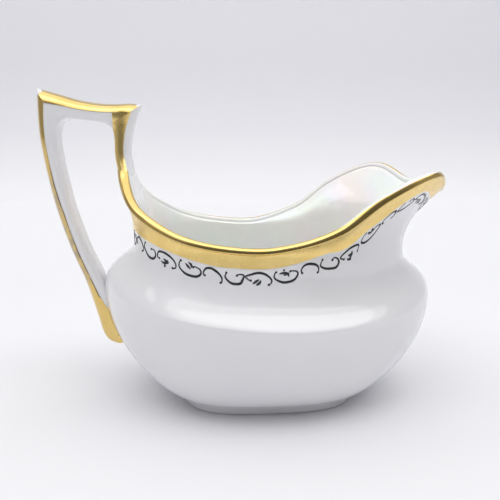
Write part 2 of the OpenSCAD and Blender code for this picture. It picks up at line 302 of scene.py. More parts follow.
def turned(rows):
    """Points and faces of a closed form from rings, with a middle point at each end."""
    rows = np.asarray(rows)
    count, columns = rows.shape[:2]
    points = np.concatenate([rows.reshape(-1, 3), rows[:1].mean(1), rows[-1:].mean(1)])
    faces = grid_faces(count, columns, False, True)
    start, end = count * columns, count * columns + 1
    last = (count - 1) * columns
    for c in range(columns):
        d = (c + 1) % columns
        faces.append((start, d, c))
        faces.append((end, last + c, last + d))
    return points, faces


# Cast body and the coats on it
UPPER_ROWS = 72
LOWER_ROWS = 40
FLOOR_SHARES = (0.2, 0.5, 0.8)


def body_rows(inset, rise):
    """Rings from the wall's top down to the foot, inset from the outside and ending higher by rise."""
    upper = [upper_point(ANGLES, mix(wall_top(ANGLES), belly_level(ANGLES), k / UPPER_ROWS), inset)
             for k in range(UPPER_ROWS + 1)]
    lower = [lower_point(ANGLES, 1 - k / LOWER_ROWS, inset, rise) for k in range(1, LOWER_ROWS + 1)]
    return upper + lower


def outside_rows():
    return body_rows(0, 0)


def inside_rows(coat):
    return body_rows(wall_at(ANGLES) + coat, FLOOR_THICKNESS + coat)


def disc_rows(ring):
    """Rings that fill a flat ring towards its middle, the outermost first."""
    middle = ring.mean(0)
    return [mix(middle, ring, share) for share in reversed(FLOOR_SHARES)]


# Rounded lip on the wall's top, by the turn round it: 0 is outwards, 90 up and 180 inwards
LIP_WAIST = 0.25
LIP_UNDER = 26.0
GOLD_TURN = 116.0
SPOUT_GOLD_TURN = 50.0
NEAR_WEAR = (-78.0, -42.0)
FAR_WEAR = (0.0, 25.0)
STEM_GOLD_TURN = 140.0
STEM_FADE = (146.0, 166.0)
LIP_STEPS = 22


def lip_point(a, turn, coat):
    """Point on the lip, bare where coat is 0 and on the coat where it is the film's thickness."""
    inset = FILM - coat
    half_width = wall_at(a) / 2 + np.where(cos_of(turn) > 0, LIP_BULGE - inset, coat)
    height = LIP_HEIGHT * lip_stretch(a) - inset
    up = LIP_WAIST + np.where(sin_of(turn) > 0, 1 - LIP_WAIST, LIP_WAIST) * sin_of(turn)
    side = wall_at(a) / 2 - half_width * cos_of(turn)
    return polar(a, upper_reach(a, lip_middle(a)) - side, wall_top(a) + height * up)


def gold_turn(a):
    """Turn where the gilding ends: worn back beside the spout on the near side, further in at the stem."""
    near = (np.asarray(a, float) + 180) % 360 - 180
    worn = ease((near - NEAR_WEAR[0]) / (NEAR_WEAR[1] - NEAR_WEAR[0]))
    worn = worn * (1 - ease((near - FAR_WEAR[0]) / (FAR_WEAR[1] - FAR_WEAR[0])))
    at_stem = ease((folded(a) - STEM_FADE[0]) / (STEM_FADE[1] - STEM_FADE[0]))
    return mix(mix(GOLD_TURN, SPOUT_GOLD_TURN, worn), STEM_GOLD_TURN, at_stem)


def lip_rows(a, first, last, coat):
    """Rows on the lip between two turns, each a number or one for every angle."""
    return [lip_point(a, mix(first, last, share), coat) for share in np.linspace(0, 1, LIP_STEPS)]


def make_bowl(material):
    inside = inside_rows(0)
    outside = outside_rows()
    lip = lip_rows(ANGLES, 180, -LIP_UNDER, 0)
    rows = disc_rows(inside[-1])[::-1] + inside[::-1] + lip + outside + disc_rows(outside[-1])
    add_piece("jug_body", "bowl", "porcelain", material, *turned(rows))


def make_lining(material):
    """Coat on the inside, from the floor up and over the lip to the gilding."""
    edge = gold_turn(ANGLES)
    coat = inside_rows(FILM)[::-1] + lip_rows(ANGLES, 180, edge, FILM)
    wall = lip_rows(ANGLES, edge, 180, 0) + inside_rows(0)
    rows = disc_rows(coat[0])[::-1] + coat + wall + disc_rows(wall[-1])
    add_piece("jug_lustre", "lustre_lining", "pearl", material, *turned(rows))


FOOT_EDGE = 0.7
FOOT_EDGE_STEPS = 6


def make_foot(material):
    """Ring with rounded lower edges, listed as inset from the outside and height."""
    turns = np.linspace(0, 90, FOOT_EDGE_STEPS + 1)
    outer = [(FOOT_EDGE * (1 - cos_of(t)), FOOT_EDGE * (1 - sin_of(t))) for t in turns]
    inner = [(FOOT_RING_WIDTH - inset, z) for inset, z in reversed(outer)]
    section = [(0, FOOT_HEIGHT)] + outer + inner + [(FOOT_RING_WIDTH, FOOT_HEIGHT)]
    rows = [polar(ANGLES, foot_reach(ANGLES) - inset, z) for inset, z in section]
    points = np.concatenate(rows)
    add_piece("jug_foot", "foot_ring", "porcelain", material, points,
              grid_faces(len(rows), STATIONS, True, True))


BAND_ROWS = 16


def make_band(material):
    levels = [mix(wall_top(ANGLES), band_bottom(ANGLES), k / BAND_ROWS) for k in range(BAND_ROWS + 1)]
    rows = [upper_point(ANGLES, z, -FILM) for z in levels]
    rows += [upper_point(ANGLES, z, 0) for z in levels[::-1]]
    add_piece("jug_band", "rim_band", "gold", material, np.concatenate(rows),
              grid_faces(len(rows), STATIONS, True, True))


LIP_END = 175.0
LIP_STATIONS = 360


def strip_mesh(grid):
    """Closed film from a grid whose rows run out along one face and back along the other."""
    count, columns = grid.shape[:2]
    faces = grid_faces(count, columns, False, True)
    for first in (0, (count - 1) * columns):
        for c in range(columns // 2 - 1):
            faces.append((first + c, first + c + 1, first + columns - 2 - c, first + columns - 1 - c))
    return grid.reshape(-1, 3), faces


def make_lip(material):
    """Gilding on the outer half of the lip, which ends inside the handle's stem."""
    path = np.linspace(-LIP_END, LIP_END, LIP_STATIONS)
    foot = wall_top(path)
    edge = gold_turn(path)
    rows = [upper_point(path, foot, -FILM)] + lip_rows(path, -LIP_UNDER, edge, FILM)
    rows += lip_rows(path, edge, -LIP_UNDER, 0) + [upper_point(path, foot, 0)]
    add_piece("jug_lip", "lip_gilding", "gold", material, *strip_mesh(np.stack(rows, 1)))


# Handle
SEAT_DEPTH = 1.2
STEM_X = -50.0
RUN_STEPS = 14
HALF_DEPTH = HANDLE_DEPTH / 2


def back_reach(z):
    """Back of the body on the centre line at height z, below the belly."""
    climb = (z - FOOT_HEIGHT) / (belly_level(180) - FOOT_HEIGHT)
    return mix(FOOT_LENGTH / 2, BELLY_LENGTH / 2 - BODY_SHIFT,
               (1 - (1 - climb) ** BELLY_FULLNESS) ** (1 / FOOT_FULLNESS))


def seat(z):
    """Place on the centre line where the handle's lower end is set into the belly."""
    return SEAT_DEPTH - back_reach(z)


# Taken off the back corner of the handle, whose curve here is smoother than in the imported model
CORNER_TRIM = 0.02

# Handle edges as outer x, outer z, inner x, inner z, half depth, from the rim up and round to the belly
BEAK = [-41, 99.2, STEM_X - 1.5, 92.6, HALF_DEPTH]
CORNER = [CORNER_TRIM - HANDLE_REACH, HANDLE_HEIGHT - CORNER_TRIM, -67.7, 93.4, HALF_DEPTH]
LANDING = [-60.3, 34.2, seat(36), 36, HALF_DEPTH]
STEM_LINE = [
    [STEM_X + 4.2, 73, STEM_X + 1.4, 73, HALF_DEPTH + 6.4],
    [STEM_X + 5.4, 77, STEM_X + 0.7, 77, HALF_DEPTH + 3.6],
    [STEM_X + 5.3, 80.5, STEM_X + 0.1, 80.2, HALF_DEPTH + 1.9],
    [STEM_X + 5.0, 83, STEM_X - 0.1, 82.6, HALF_DEPTH + 1],
    [STEM_X + 5.1, 85.8, STEM_X - 0.1, 85.2, HALF_DEPTH + 0.5],
    [STEM_X + 5.6, 89.4, STEM_X - 0.1, 88.2, HALF_DEPTH + 0.15],
    [STEM_X + 6.9, 94.2, STEM_X - 0.5, 91, HALF_DEPTH],
    BEAK]
BAR_LINE = [
    BEAK,
    [-45, 99.6, -53.2, 93.4, HALF_DEPTH],
    [-50, 99.4, -55.7, 93.8, HALF_DEPTH],
    [-55.5, 99.6, -58.8, 94.2, HALF_DEPTH],
    [-61.5, 100.6, -62.2, 94.6, HALF_DEPTH],
    [-67.5, 102.3, -65.4, 94.7, HALF_DEPTH],
    CORNER]
LEG_LINE = [
    CORNER,
    [CORNER_TRIM - HANDLE_REACH - 0.1, 98, -68.4, 90.8, HALF_DEPTH],
    [-HANDLE_REACH, 91, -68.5, 87.4, HALF_DEPTH],
    [-74, 85.5, -68.2, 83, HALF_DEPTH],
    [-72.4, 75, -66.9, 75, HALF_DEPTH],
    [-70.2, 64.5, -64.7, 64.6, HALF_DEPTH],
    [-66.5, 52, -60.9, 52.4, HALF_DEPTH],
    [-62.4, 41.2, -56.9, 43, HALF_DEPTH],
    LANDING]
TERMINAL_LINE = [
    LANDING,
    [-58.5, 27.5, seat(29), 29, HALF_DEPTH],
    [-57.3, 22.5, seat(23.5), 23.5, HALF_DEPTH],
    [-55.7, 19.6, seat(20.4), 20.4, HALF_DEPTH],
    [-53.3, 18.6, seat(19.2), 19.2, HALF_DEPTH]]


def run(line):
    """Smooth run through a list of rows, with even steps between neighbours."""
    line = np.array(line, float)
    slopes = np.empty_like(line)
    slopes[0] = line[1] - line[0]
    slopes[-1] = line[-1] - line[-2]
    slopes[1:-1] = (line[2:] - line[:-2]) / 2
    rows = [hermite(line[i], line[i + 1], slopes[i], slopes[i + 1], 1, k / RUN_STEPS)
            for i in range(len(line) - 1) for k in range(RUN_STEPS)]
    return np.array(rows + [line[-1]])


STEM_RUN = run(STEM_LINE)
BAR_RUN = run(BAR_LINE)
LEG_RUN = run(LEG_LINE)
TERMINAL_RUN = run(TERMINAL_LINE)

# Handle section: the inner corner rounds up to SIDE_LOW, the side is flat to SIDE_HIGH, the back is round
SIDE_LOW = 0.34
SIDE_HIGH = 0.38
INNER_DEPTH = 0.72
CORNER_STEPS = 8
FLAT_STEPS = 2
BACK_STEPS = 10

# The stem's foot, in front of BEND_BACK, follows the body's round back and is straight from BEND_HIGH up
BEND_LOW = 79.0
BEND_HIGH = 86.0
BEND_BACK = STEM_X - 1


def section_depth(share):
    """Half depth of the section at a share of the way from the inner to the outer edge, 1 at its widest."""
    corner = np.clip(1 - share / SIDE_LOW, 0, 1)
    back = np.clip((share - SIDE_HIGH) / (1 - SIDE_HIGH), 0, 1)
    return (INNER_DEPTH + (1 - INNER_DEPTH) * np.sqrt(1 - corner ** 2)) * np.sqrt(1 - back ** 2)


def handle_points(rows, shares, sides, lift):
    """Grid along a run: shares by row and column, sides -1 near and 1 far, lifted off the surface."""
    shares = np.broadcast_to(shares, (len(rows), len(sides)))
    inner = rows[:, None, 2:4]
    half = rows[:, 4:5]
    across = rows[:, None, 0:2] - inner
    length = np.linalg.norm(across, axis=2)
    depth = section_depth(shares)
    tilt_out = np.clip((shares - SIDE_HIGH) / (1 - SIDE_HIGH), 0, 1) / ((1 - SIDE_HIGH) * length)
    tilt_side = depth / half
    tilt = np.hypot(tilt_out, tilt_side)
    spot = inner + across * (shares + lift * tilt_out / tilt / length)[..., None]
    y = sides * (depth * half + lift * tilt_side / tilt)
    bend = 1 - ease((spot[..., 1] - BEND_LOW) / (BEND_HIGH - BEND_LOW))
    bend = np.where(spot[..., 0] > BEND_BACK, bend, 0)
    x = spot[..., 0] + bend * (-STEM_X - np.sqrt(STEM_X ** 2 - y ** 2))
    return np.stack([x, y, spot[..., 1]], -1)


def make_handle(material):
    rows = np.concatenate([STEM_RUN, BAR_RUN[1:], LEG_RUN[1:], TERMINAL_RUN[1:]])
    corner = SIDE_LOW * (1 - cos_of(np.linspace(0, 90, CORNER_STEPS)))
    flat = np.linspace(SIDE_LOW, SIDE_HIGH, FLAT_STEPS)[1:]
    back = SIDE_HIGH + (1 - SIDE_HIGH) * sin_of(np.linspace(0, 90, BACK_STEPS))[1:]
    near = np.concatenate([corner, flat, back])
    shares = np.concatenate([near, near[-2::-1], [0]])
    sides = np.concatenate([-np.ones(len(near)), np.ones(len(near) - 1), [0]])
    add_piece("jug_handle", "handle", "porcelain", material, *turned(handle_points(rows, shares, sides, 0)))


FILM_STEPS = 24


def film_grid(rows, shares, sides):
    """Film on the handle, whose rows run out along its top and back along the surface under it."""
    top = handle_points(rows, shares, sides, FILM)
    bottom = handle_points(rows, shares, sides, 0)
    return np.concatenate([top, bottom[:, ::-1]], 1)


def back_film(rows, edge):
    """Film over the round back of the handle, down to an edge on each side, given as a share by row."""
    turns = np.linspace(0, 180, FILM_STEPS)
    shares = edge[:, None] + (1 - edge[:, None]) * sin_of(turns)
    return film_grid(rows, shares, np.where(turns < 90, -1, 1))


def side_film(rows, low, high, side):
    """Film on one side of the handle between two edges, given as shares by row."""
    steps = np.linspace(0, 1, FILM_STEPS // 2)
    shares = mix(low[:, None], high[:, None], steps)
    return film_grid(rows, shares, np.full(len(steps), side))


# Edge of the gilding on the handle's sides, as height or place along the jug and share from the inner edge
LEG_EDGE = [(28.5, 0.02), (32, 0.3), (36, 0.48), (42, 0.53), (64, 0.48), (73, 0.58), (100, 0.6)]
BAR_EDGE = [(-74, 0.6), (-70, 0.56), (-66, 0.53), (-41, 0.53)]
STEM_LOW = 0.02
STEM_EDGE = [(80, 0.55), (90, 0.58), (97, 0.72)]
STEM_LEFT = STEM_X - 0.3


def gilding_edge(rows, edge, axis):
    """Edge for each row of a run, by place along the jug where axis is 0 or by height where it is 1."""
    spots, shares = zip(*edge)
    return np.interp((rows[:, axis] + rows[:, axis + 2]) / 2, spots, shares)


def leg_edge(rows):
    return gilding_edge(rows, LEG_EDGE, 1)


def bar_edge(rows):
    return gilding_edge(rows, BAR_EDGE, 0)


def stem_edge(rows):
    return gilding_edge(rows, STEM_EDGE, 1)


def make_handle_gilding(material):
    """Gilding on the back of bar and leg, with a dark line along its two edges on the leg."""
    leg = LEG_RUN[1:]
    edge = np.concatenate([bar_edge(BAR_RUN), leg_edge(leg)])
    points, faces = strip_mesh(back_film(np.concatenate([BAR_RUN, leg]), edge))
    # Dark line along both edges of the gilding on the leg
    dark_edge_share = np.zeros((len(edge), 2 * FILM_STEPS))
    dark_edge_share[len(BAR_RUN):, [0, FILM_STEPS - 1, FILM_STEPS, -1]] = 1
    add_piece("jug_handle_gilding", "handle_gilding", "gold", material, points, faces, dark_edge_share.ravel())


def make_terminal_gilding(material):
    film = back_film(TERMINAL_RUN, leg_edge(TERMINAL_RUN))
    add_piece("jug_terminal_gilding", "terminal_gilding", "gold", material, *strip_mesh(film))


def make_stem_gilding(material):
    """Gilding on both sides of the stem, which runs on up to the gilding of the bar."""
    rows = np.concatenate([STEM_RUN, BAR_RUN[1:]])
    low = np.maximum(STEM_LOW, (STEM_LEFT - rows[:, 2]) / (rows[:, 0] - rows[:, 2]))
    high = np.concatenate([stem_edge(STEM_RUN), bar_edge(BAR_RUN[1:])])
    count = int(np.argmax(low > high))
    films = [strip_mesh(side_film(rows[:count], low[:count], high[:count], side)) for side in (-1, 1)]
    points = np.concatenate([film_points for film_points, _ in films])
    faces = films[0][1] + [[k + len(films[0][0]) for k in face] for face in films[1][1]]
    add_piece("jug_stem_gilding", "stem_gilding", "gold", material, points, faces)


# Painted border
SCROLL_COUNT = 40
SCROLL_HEIGHT = 3.7
SCROLL_GAP = 1.1
SCROLL_FILL = 0.9
STROKE_WIDTH = 0.58
STROKE_RISE = 0.12
STROKE_STEPS = 90
ACCENT_STEPS = 10
ACCENT_WIDTH = 0.62
ACCENT_SIZE = 1.25
ACCENT_DOT = ACCENT_WIDTH / 3
DOT_RADIUS = 0.36
JITTER = 0.03
JITTER_SEED = 11

# Scrolls in shares of their length and height, from dot to dot: a cap and a cup, which is turned over
CAP_LINE = [(-0.33, -0.11), (-0.44, -0.06), (-0.49, 0.14), (-0.36, 0.4), (-0.08, 0.5),
            (0.26, 0.32), (0.48, -0.05), (0.46, -0.38), (0.33, -0.5)]
CUP_LINE = [(-0.33, -0.5), (-0.46, -0.36), (-0.48, 0.06), (-0.12, 0.48), (0.28, 0.48),
            (0.5, 0.12), (0.42, -0.24), (0.22, -0.32), (0.1, -0.16)]
# Small strokes inside the long scrolls: a leaf of two strokes or a sprig of three
LEAF_ACCENT = [[(-0.16, -0.34), (-0.07, -0.16), (0.04, -0.02)],
               [(-0.06, -0.44), (0.04, -0.26), (0.08, -0.1)]]
SPRIG_ACCENT = [[(-0.2, -0.2), (-0.06, -0.28), (0.1, -0.12)],
                [(-0.06, -0.28), (-0.02, -0.5)],
                [(-0.1, -0.02), (0.02, -0.1), (0.06, 0.06)]]
BORDER_MIDDLE = SCROLL_GAP + SCROLL_HEIGHT / 2
# Scrolls come in groups: two long and two short, as shares of the group's length
GROUP_SHARES = np.array([0.28, 0.28, 0.22, 0.22])
GROUP_STARTS = np.cumsum(GROUP_SHARES) - GROUP_SHARES
GROUP_SIZE = len(GROUP_SHARES)
LONG_SCROLLS = 2
GROUP_PHASE = 0.93
LEAN_STEP = 1.0

whole_turn = np.arange(361.0)
border_line = upper_point(whole_turn, band_bottom(whole_turn) - BORDER_MIDDLE, 0)
border_walk = np.concatenate([[0], np.cumsum(np.linalg.norm(np.diff(border_line, axis=0), axis=1))])
border_length = border_walk[-1]
group_length = GROUP_SIZE * border_length / SCROLL_COUNT


def border_lean(a):
    """Length down the body to a unit of height at the border, taken over two steps."""
    z = band_bottom(a) - BORDER_MIDDLE
    out = upper_reach(a, z - LEAN_STEP) - upper_reach(a, z + LEAN_STEP)
    return np.hypot(1, out / (2 * LEAN_STEP))


def border_point(spots, rise):
    """Points on the body at a distance along the border and down from the band's lower edge."""
    a = np.interp(spots[:, 0] % border_length, border_walk, whole_turn)
    return upper_point(a, band_bottom(a) - spots[:, 1] / border_lean(a), -rise)


def smooth_line(points, steps):
    """Smooth curve through points, with even steps between neighbours."""
    points = np.asarray(points, float)
    slopes = np.gradient(points, axis=0)
    spots = np.linspace(0, len(points) - 1, steps + 1)
    i = np.minimum(spots.astype(int), len(points) - 2)
    return hermite(points[i], points[i + 1], slopes[i], slopes[i + 1], 1, (spots - i)[:, None])


# Section of a painted stroke as share of the half width, share of the rise
STROKE_SECTION = ((-1, 0), (-0.7, 0.7), (0, 1), (0.7, 0.7), (1, 0))
STROKE_LIFT = 0.02
THICKENING = 0.35
THINNEST = 0.02


def stroke_mesh(line, width, dot):
    """Low domed stroke along and down the border, fuller in the middle, with a round dot at each end."""
    course = np.gradient(line, axis=0)
    pace = np.linalg.norm(course, axis=1)
    side = np.stack([-course[:, 1], course[:, 0]], 1) / pace[:, None]
    walk = np.concatenate([[0], np.cumsum(np.linalg.norm(np.diff(line, axis=0), axis=1))])
    from_end = np.minimum(walk, walk[-1] - walk)
    fullness = 1 - THICKENING * cos_of(360 * walk / walk[-1])
    ball = np.sqrt(np.maximum(0, dot ** 2 - (from_end - dot) ** 2))
    thin = np.minimum(1, np.sqrt(from_end / dot) + THINNEST)
    half = np.maximum(width / 2 * fullness * thin, ball)
    grid = np.stack([border_point(line + side * (share * half)[:, None], STROKE_LIFT + rise * STROKE_RISE)
                     for share, rise in STROKE_SECTION], 1)
    count, columns = grid.shape[:2]
    faces = grid_faces(count, columns, False, True)
    faces.append(list(range(columns)))
    faces.append([(count - 1) * columns + c for c in range(columns)])
    return grid.reshape(-1, 3), faces


def hand_drawn(shape, centre, size, steps, random):
    """Smooth line through a shape that is given in shares of a scroll's size, each point a little off."""
    shape = np.asarray(shape) + random.normal(0, JITTER, (len(shape), 2))
    return smooth_line((centre, BORDER_MIDDLE) + shape * size, steps)


def scroll_strokes(group, turn, random):
    """Line, width and dot of each stroke in one scroll, with small strokes in a long one."""
    pitch = GROUP_SHARES[turn] * group_length
    centre = (GROUP_PHASE + group + GROUP_STARTS[turn]) * group_length + pitch / 2
    cup = turn % 2
    size = np.array([SCROLL_FILL * pitch, SCROLL_HEIGHT if cup else -SCROLL_HEIGHT])
    scroll = hand_drawn(CUP_LINE if cup else CAP_LINE, centre, size, STROKE_STEPS, random)
    strokes = [(scroll, STROKE_WIDTH, DOT_RADIUS)]
    if turn < LONG_SCROLLS:
        for shape in SPRIG_ACCENT if (group + turn) % 2 else LEAF_ACCENT:
            accent = hand_drawn(ACCENT_SIZE * np.array(shape), centre, size, ACCENT_STEPS, random)
            strokes.append((accent, ACCENT_WIDTH, ACCENT_DOT))
    return strokes


def make_border(material):
    """Scrolls round the jug, turned up and down by turns, each drawn a little differently."""
    random = np.random.default_rng(JITTER_SEED)
    points = []
    faces = []
    count = 0
    for i in range(SCROLL_COUNT):
        group, turn = divmod(i, GROUP_SIZE)
        for stroke in scroll_strokes(group, turn, random):
            stroke_points, stroke_faces = stroke_mesh(*stroke)
            points.append(stroke_points)
            faces += [[k + count for k in face] for face in stroke_faces]
            count += len(stroke_points)
    add_piece("jug_border", "scroll_border", "enamel", material, np.concatenate(points), faces)


# Materials: noise scales are in waves to a metre, and the noise between the two ends of a range is used
NOISE_DETAIL = 3.0
NARROW = (0.35, 0.65)
BROAD = (0.3, 0.7)


def new_material(name):
    """New material with its node tree, its shader and the place on the surface."""
    material = bpy.data.materials.new(name)
    material.use_nodes = True
    tree = material.node_tree
    place = tree.nodes.new("ShaderNodeTexCoord").outputs["Object"]
    return material, tree, tree.nodes["Principled BSDF"], place


def noise_of(tree, place, scale):
    noise = tree.nodes.new("ShaderNodeTexNoise")
    noise.inputs["Scale"].default_value = scale
    noise.inputs["Detail"].default_value = NOISE_DETAIL
    tree.links.new(place, noise.inputs["Vector"])
    return noise.outputs["Fac"]


def spread(tree, value, source, low=0, high=1):
    """Value taken from a source range to the one from low to high, and held inside it."""
    node = tree.nodes.new("ShaderNodeMapRange")
    ends = {"From Min": source[0], "From Max": source[1], "To Min": low, "To Max": high}
    for socket, number in ends.items():
        node.inputs[socket].default_value = number
    tree.links.new(value, node.inputs["Value"])
    return node.outputs["Result"]


def cloudy(tree, place, scale, source, low=0, high=1):
    """Value that drifts between low and high over the surface."""
    return spread(tree, noise_of(tree, place, scale), source, low, high)


def blend_colours(tree, factor, first, second):
    """Colour between two; each is a colour value or another node's output."""
    node = tree.nodes.new("ShaderNodeMix")
    node.data_type = "RGBA"
    tree.links.new(factor, node.inputs["Factor"])
    sockets = [socket for socket in node.inputs if socket.type == "RGBA"]
    for socket, colour in zip(sockets, (first, second)):
        if isinstance(colour, tuple):
            socket.default_value = (*colour, 1)
        else:
            tree.links.new(colour, socket)
    return next(socket for socket in node.outputs if socket.type == "RGBA")


def roughen(tree, shader, place, scale, smoothest, roughest):
    """Roughness that drifts over the surface."""
    tree.links.new(cloudy(tree, place, scale, BROAD, smoothest, roughest), shader.inputs["Roughness"])


def bump_of(tree, shader, height, strength, distance):
    bump = tree.nodes.new("ShaderNodeBump")
    bump.inputs["Strength"].default_value = strength
    bump.inputs["Distance"].default_value = distance
    tree.links.new(height, bump.inputs["Height"])
    tree.links.new(bump.outputs["Normal"], shader.inputs["Normal"])


def place_on_axis(tree, place, axis):
    split = tree.nodes.new("ShaderNodeSeparateXYZ")
    tree.links.new(place, split.inputs["Vector"])
    return split.outputs[axis]


def combine(tree, operation, first, second):
    """Sum, product or larger of two values."""
    node = tree.nodes.new("ShaderNodeMath")
    node.operation = operation
    tree.links.new(first, node.inputs[0])
    tree.links.new(second, node.inputs[1])
    return node.outputs["Value"]


def product(tree, first, *others):
    for other in others:
        first = combine(tree, "MULTIPLY", first, other)
    return first


# Specks: share of the radius that is fully dark, cells to a patch, and noise above which a patch has specks
SPECK_CORE = 0.6
SPECK_PATCH = 3
SPECK_NOISE = (0.5, 0.56)


def specks_of(tree, place, scale, size):
    """Scattered small spots of a size in metres, 1 inside a spot, one to a cell of the scale at most."""
    cells = tree.nodes.new("ShaderNodeTexVoronoi")
    cells.inputs["Scale"].default_value = scale
    tree.links.new(place, cells.inputs["Vector"])
    radius = size * scale
    spots = spread(tree, cells.outputs["Distance"], (SPECK_CORE * radius, radius), 1, 0)
    return product(tree, spots, cloudy(tree, place, scale / SPECK_PATCH, SPECK_NOISE))


# Worn spots: scale of their ragged edge, how far it strays and where it starts, as shares of the radius
RAGGED_SCALE = 600
RAGGED_STRAY = 0.5
SPOT_CORE = 0.85


def worn_spot(tree, place, x, z, radius):
    """Ragged spot across the jug round a place in the XZ plane, in millimetres, 1 inside."""
    flat = tree.nodes.new("ShaderNodeVectorMath")
    flat.operation = "MULTIPLY"
    flat.inputs[1].default_value = (1, 0, 1)
    tree.links.new(place, flat.inputs[0])
    gap = tree.nodes.new("ShaderNodeVectorMath")
    gap.operation = "DISTANCE"
    gap.inputs[1].default_value = (x * MM, 0, z * MM)
    tree.links.new(flat.outputs["Vector"], gap.inputs[0])
    stray = RAGGED_STRAY * radius * MM
    ragged = cloudy(tree, place, RAGGED_SCALE, BROAD, -stray, stray)
    reach = combine(tree, "ADD", gap.outputs["Value"], ragged)
    return spread(tree, reach, (SPOT_CORE * radius * MM, radius * MM), 1, 0)


# Porcelain: two near whites, a few brown specks and a clear glaze, with its wave as strength and depth
PORCELAIN_TONES = ((0.855, 0.855, 0.88), (0.875, 0.875, 0.895))
PORCELAIN_SCALE = 28
BROWN_SPECK = (0.30, 0.27, 0.23)
BROWN_SPECK_SCALE = 45
BROWN_SPECK_SIZE = 0.00025
GLAZE_ROUGHNESS = (0.04, 0.1)
GLAZE_ROUGHNESS_SCALE = 120
GLAZE_SPECULAR = 0.9
GLAZE_WAVE = (0.06, 0.0005)
GLAZE_WAVE_SCALE = 60


def porcelain_material():
    material, tree, shader, place = new_material("porcelain_glaze")
    tone = blend_colours(tree, cloudy(tree, place, PORCELAIN_SCALE, NARROW), *PORCELAIN_TONES)
    specks = specks_of(tree, place, BROWN_SPECK_SCALE, BROWN_SPECK_SIZE)
    tree.links.new(blend_colours(tree, specks, tone, BROWN_SPECK), shader.inputs["Base Color"])
    roughen(tree, shader, place, GLAZE_ROUGHNESS_SCALE, *GLAZE_ROUGHNESS)
    shader.inputs["Specular IOR Level"].default_value = GLAZE_SPECULAR
    bump_of(tree, shader, noise_of(tree, place, GLAZE_WAVE_SCALE), *GLAZE_WAVE)
    return material


# Lustre: cream that turns green and pink in places, under a thin film that is measured in nanometres
PEARL_CREAM = (0.95, 0.92, 0.87)
PEARL_GREEN = (0.86, 0.93, 0.89)
PEARL_PINK = (0.95, 0.88, 0.91)
GREEN_SCALE = 45
PINK_SCALE = 90
PINK_NOISE = (0.4, 0.7)
PINK_SHARE = 0.7
PEARL_ROUGHNESS = (0.05, 0.12)
PEARL_ROUGHNESS_SCALE = 150
PEARL_IOR = 1.7
LUSTRE_IOR = 1.8
LUSTRE_THICKNESS = (250, 480)
LUSTRE_SCALE = 35
PEARL_WAVE = (0.6, 0.0012)
PEARL_WAVE_SCALE = 55


def pearl_material():
    material, tree, shader, place = new_material("pearl_lustre")
    tone = blend_colours(tree, cloudy(tree, place, GREEN_SCALE, NARROW), PEARL_CREAM, PEARL_GREEN)
    pink = cloudy(tree, place, PINK_SCALE, PINK_NOISE, 0, PINK_SHARE)
    tree.links.new(blend_colours(tree, pink, tone, PEARL_PINK), shader.inputs["Base Color"])
    roughen(tree, shader, place, PEARL_ROUGHNESS_SCALE, *PEARL_ROUGHNESS)
    thickness = cloudy(tree, place, LUSTRE_SCALE, BROAD, *LUSTRE_THICKNESS)
    tree.links.new(thickness, shader.inputs["Thin Film Thickness"])
    shader.inputs["Thin Film IOR"].default_value = LUSTRE_IOR
    shader.inputs["IOR"].default_value = PEARL_IOR
    bump_of(tree, shader, noise_of(tree, place, PEARL_WAVE_SCALE), *PEARL_WAVE)
    return material


# Gold: tones and roughness of the burnished and the satin kind, and what both have; the satin tones are
# painted lighter, as a reflection of the pale floor in front
BURNISHED_TONES = ((0.70, 0.50, 0.17), (0.75, 0.55, 0.21))
BURNISHED_ROUGHNESS = (0.1, 0.18)
SATIN_TONES_PAINTED_LIGHTER = ((0.82, 0.60, 0.22), (0.88, 0.66, 0.26))
SATIN_ROUGHNESS = (0.24, 0.34)
GOLD_SCALE = 160
GOLD_ROUGHNESS_SCALE = 220
GOLD_GRAIN = (0.08, 0.0002)
GOLD_GRAIN_SCALE = 500
# Rubbed gilding: heights where it starts and ends, where the leg begins along the jug, and how patchy it is
RUBBED_GOLD = (0.40, 0.34, 0.25)
RUB_START = (34 * MM, 42 * MM)
RUB_END = (70 * MM, 80 * MM)
LEG_PLACE = (-59 * MM, -62 * MM)
RUB_SCALE = 250
RUB_NOISE = (0.35, 0.6)
RUB_SHARE = (0.2, 0.9)
# Pale gilding at the spout, by distance along the jug
PALE_GOLD = (0.76, 0.70, 0.56)
PALE_SPOUT = (52 * MM, 61 * MM)
PALE_SHARE = 0.7
# Dark specks, and a broken dark line on the gilding's edge up to a height on the leg
# One dark colour for the specks and for the line along the gilding's edge
DARK_SPECK_AND_LINE = (0.16, 0.10, 0.04)
DIRT_SPECK_SCALE = 150
DIRT_SPECK_SIZE = 0.0006
EDGE_DEPTH = (0.3, 0.8)
EDGE_SCALE = 180
EDGE_NOISE = (0.4, 0.55)
EDGE_TOP = (74 * MM, 82 * MM)
# Spots where the gilding is gone as x, z and radius in millimetres
BARE_GLAZE = (0.85, 0.85, 0.86)
WORN_CORNER = (-74.6, 104.2, 2.2)
WORN_BEAK = (-40.2, 99.6, 2.6)


def rubbing_of(tree, place):
    """How far the gilding on the leg is rubbed thin."""
    height = place_on_axis(tree, place, "Z")
    rise = spread(tree, height, RUB_START)
    fall = spread(tree, height, RUB_END, 1, 0)
    on_leg = spread(tree, place_on_axis(tree, place, "X"), LEG_PLACE)
    patchy = cloudy(tree, place, RUB_SCALE, RUB_NOISE, *RUB_SHARE)
    return product(tree, rise, fall, on_leg, patchy)


def specks_and_edge_line_of(tree, place):
    """Where the gilding has dark specks or the dark line on its edge."""
    edge = tree.nodes.new("ShaderNodeAttribute")
    edge.attribute_name = EDGE_LINE_ATTRIBUTE
    at_edge = spread(tree, edge.outputs["Fac"], EDGE_DEPTH)
    broken = cloudy(tree, place, EDGE_SCALE, EDGE_NOISE)
    below_top = spread(tree, place_on_axis(tree, place, "Z"), EDGE_TOP, 1, 0)
    specks = specks_of(tree, place, DIRT_SPECK_SCALE, DIRT_SPECK_SIZE)
    return combine(tree, "MAXIMUM", specks, product(tree, at_edge, broken, below_top))


